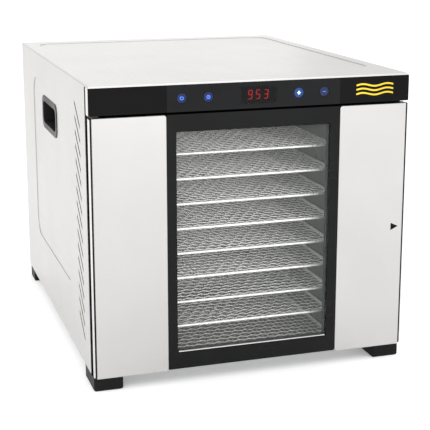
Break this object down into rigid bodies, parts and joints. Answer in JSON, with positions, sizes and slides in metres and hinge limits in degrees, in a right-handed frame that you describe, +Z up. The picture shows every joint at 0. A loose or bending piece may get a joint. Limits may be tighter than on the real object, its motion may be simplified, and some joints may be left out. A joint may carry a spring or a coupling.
{
  "type": "food dehydrator",
  "caption": "Countertop food dehydrator: steel cabinet, side-hinged glass door, sliding wire trays, rear fan and heater, and a control panel above the door.",
  "frame": {"origin": "centre of the footprint, on the floor under the feet", "axes": "+Z up, +X to the right as seen from the front, the door faces -Y"},
  "size_m": [0.4504, 0.565, 0.4145],
  "materials": {
    "cover_steel": "fine brushed stainless sheet",
    "door_steel": "satin stainless sheet",
    "bright_strip": "polished edge strip",
    "base_zinc": "zinc-coated sheet",
    "back_grey": "zinc-coated sheet, dull",
    "chamber_grey": "dark enamelled sheet",
    "fascia_black": "high gloss",
    "insert_black": "high gloss, slightly lighter",
    "frame_black": "satin gloss",
    "liner_black": "fine moulded texture",
    "cup_black": "moulded",
    "foot_black": "moulded",
    "gasket_black": "silicone",
    "clear_glass": "clear tempered",
    "display_smoke": "smoked acrylic",
    "led_red": "lit red bars",
    "module_black": "moulded",
    "board_green": "solder-masked board",
    "button_dark": "lit key cap",
    "mark_cream": "printed pictogram",
    "mark_black": "printed arrow",
    "tray_wire": "bright welded wire",
    "motor_grey": "pressed can",
    "impeller_metal": "pressed blades",
    "heater_metal": "sheathed element",
    "magnet_black": "ferrite",
    "pin_steel": "plated steel",
    "hinge_black": "black coated steel",
    "bush_brass": "turned",
    "switch_white": "ceramic-like can"
  },
  "bodies": {
    "cabinet": {"outer_cover": "cover_steel", "base_pan": "base_zinc", "front_frame": "chamber_grey", "back_panel": "back_grey", "chamber_wall_left": "chamber_grey", "chamber_wall_right": "chamber_grey", "chamber_floor": "chamber_grey", "chamber_ceiling": "chamber_grey", "rear_baffle": "chamber_grey", "handle_cup_left": "cup_black", "handle_cup_right": "cup_black", "foot_front_left": "foot_black", "foot_front_right": "foot_black", "feet_rear": "foot_black", "foot_screws": "pin_steel", "fan_motor": "motor_grey", "fan_bracket": "base_zinc", "heater_element": "heater_metal", "thermal_cutout": "switch_white", "power_board": "board_green", "cord_gland": "liner_black", "back_screws": "pin_steel", "control_carrier": "module_black", "control_fascia": "fascia_black", "fascia_insert": "insert_black", "display_window": "display_smoke", "display_module": "module_black", "led_digits": "led_red", "control_pcb": "board_green", "airflow_mark": "mark_cream", "fascia_ends": "bright_strip", "hinge_brackets": "hinge_black", "hinge_pins": "pin_steel", "catch_magnets": "magnet_black"},
    "door": {"door_panel_left": "door_steel", "door_panel_right": "door_steel", "pull_mark": "mark_black", "door_frame": "frame_black", "window_glass": "clear_glass", "door_liner": "liner_black", "door_gasket": "gasket_black", "door_edges": "bright_strip", "hinge_bushes": "bush_brass", "catch_plates": "pin_steel"},
    "fan_rotor": {"fan_impeller": "impeller_metal", "fan_shaft": "pin_steel"},
    "key_power": {"button_power": "button_dark"},
    "key_timer": {"button_timer": "button_dark"},
    "key_plus": {"button_plus": "button_dark"},
    "key_minus": {"button_minus": "button_dark"},
    "shelf_01": {"tray_01": "tray_wire"},
    "shelf_02": {"tray_02": "tray_wire"},
    "shelf_03": {"tray_03": "tray_wire"},
    "shelf_04": {"tray_04": "tray_wire"},
    "shelf_05": {"tray_05": "tray_wire"},
    "shelf_06": {"tray_06": "tray_wire"},
    "shelf_07": {"tray_07": "tray_wire"},
    "shelf_08": {"tray_08": "tray_wire"},
    "shelf_09": {"tray_09": "tray_wire"},
    "shelf_10": {"tray_10": "tray_wire"}
  },
  "joints": [
    {"name": "door_hinge", "type": "hinge", "parent": "cabinet", "child": "door", "pos_m": [-0.219, -0.2735, 0.196], "axis": [0, 0, -1], "range_deg": [0, 110]},
    {"name": "fan_spin", "type": "hinge", "parent": "cabinet", "child": "fan_rotor", "pos_m": [0, 0.2095, 0.196], "axis": [0, 1, 0], "continuous": true},
    {"name": "button_power_press", "type": "slide", "parent": "cabinet", "child": "key_power", "axis": [0, 1, 0], "range_m": [0, 0.0009], "stiffness_N_per_m": 500},
    {"name": "button_timer_press", "type": "slide", "parent": "cabinet", "child": "key_timer", "axis": [0, 1, 0], "range_m": [0, 0.0009], "stiffness_N_per_m": 500},
    {"name": "button_plus_press", "type": "slide", "parent": "cabinet", "child": "key_plus", "axis": [0, 1, 0], "range_m": [0, 0.0009], "stiffness_N_per_m": 500},
    {"name": "button_minus_press", "type": "slide", "parent": "cabinet", "child": "key_minus", "axis": [0, 1, 0], "range_m": [0, 0.0009], "stiffness_N_per_m": 500},
    {"name": "tray_01_slide", "type": "slide", "parent": "cabinet", "child": "shelf_01", "axis": [0, -1, 0], "range_m": [0, 0.4]},
    {"name": "tray_02_slide", "type": "slide", "parent": "cabinet", "child": "shelf_02", "axis": [0, -1, 0], "range_m": [0, 0.4]},
    {"name": "tray_03_slide", "type": "slide", "parent": "cabinet", "child": "shelf_03", "axis": [0, -1, 0], "range_m": [0, 0.4]},
    {"name": "tray_04_slide", "type": "slide", "parent": "cabinet", "child": "shelf_04", "axis": [0, -1, 0], "range_m": [0, 0.4]},
    {"name": "tray_05_slide", "type": "slide", "parent": "cabinet", "child": "shelf_05", "axis": [0, -1, 0], "range_m": [0, 0.4]},
    {"name": "tray_06_slide", "type": "slide", "parent": "cabinet", "child": "shelf_06", "axis": [0, -1, 0], "range_m": [0, 0.4]},
    {"name": "tray_07_slide", "type": "slide", "parent": "cabinet", "child": "shelf_07", "axis": [0, -1, 0], "range_m": [0, 0.4]},
    {"name": "tray_08_slide", "type": "slide", "parent": "cabinet", "child": "shelf_08", "axis": [0, -1, 0], "range_m": [0, 0.4]},
    {"name": "tray_09_slide", "type": "slide", "parent": "cabinet", "child": "shelf_09", "axis": [0, -1, 0], "range_m": [0, 0.4]},
    {"name": "tray_10_slide", "type": "slide", "parent": "cabinet", "child": "shelf_10", "axis": [0, -1, 0], "range_m": [0, 0.4]}
  ],
  "couplings": [
    {"joint": "tray_01_slide", "follows": "door_hinge", "m_per_rad": 0.13},
    {"joint": "tray_02_slide", "follows": "door_hinge", "m_per_rad": 0.13},
    {"joint": "tray_03_slide", "follows": "door_hinge", "m_per_rad": 0.13},
    {"joint": "tray_04_slide", "follows": "door_hinge", "m_per_rad": 0.13},
    {"joint": "tray_05_slide", "follows": "door_hinge", "m_per_rad": 0.13},
    {"joint": "tray_06_slide", "follows": "door_hinge", "m_per_rad": 0.13},
    {"joint": "tray_07_slide", "follows": "door_hinge", "m_per_rad": 0.13},
    {"joint": "tray_08_slide", "follows": "door_hinge", "m_per_rad": 0.13},
    {"joint": "tray_09_slide", "follows": "door_hinge", "m_per_rad": 0.13},
    {"joint": "tray_10_slide", "follows": "door_hinge", "m_per_rad": 0.13}
  ]
}
